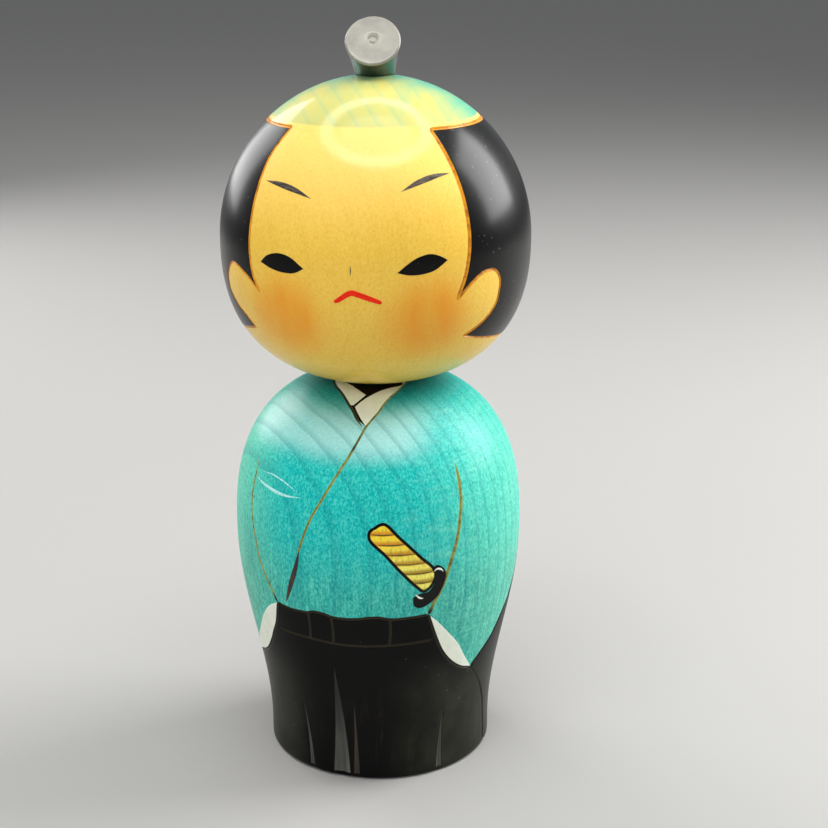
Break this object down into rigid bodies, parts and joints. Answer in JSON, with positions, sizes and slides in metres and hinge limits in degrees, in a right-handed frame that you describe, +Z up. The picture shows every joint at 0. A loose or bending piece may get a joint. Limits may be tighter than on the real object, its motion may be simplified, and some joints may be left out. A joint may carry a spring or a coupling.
{
  "type": "kokeshi doll",
  "caption": "Turned wooden kokeshi doll of a samurai boy: a ball head with a topknot peg turns on a dowel above a bellied body in kimono and hakama, on a flat foot.",
  "frame": {"origin": "centre of the foot's flat underside, on the surface that the doll stands on", "axes": "+Z up along the turning axis of body and head; the front of the body faces -Y, and +X is at the viewer's right when looking at the front"},
  "size_m": [0.062, 0.062, 0.1526],
  "materials": {
    "kimono_wood": "teal dye in bare wood grain under clear gloss varnish",
    "face_wood": "pale bare wood under warm clear gloss varnish",
    "dowel_wood": "bare hardwood, turned smooth",
    "black_lacquer": "thick black gloss lacquer on wood",
    "white_paint": "opaque white paint on wood, under varnish",
    "gold_paint": "ochre gold paint on wood, under varnish",
    "red_paint": "thin red paint on wood, under varnish",
    "grey_ink": "thin grey ink brushed on wood, under varnish"
  },
  "bodies": {
    "body": {"body": "kimono_wood", "neck_dowel": "dowel_wood"},
    "head": {"head": "face_wood", "topknot": "black_lacquer"}
  },
  "joints": [
    {"name": "head_swivel", "type": "hinge", "parent": "body", "child": "head", "pos_m": [0, 0, 0.0808], "axis": [0, 0, 1], "continuous": true}
  ]
}
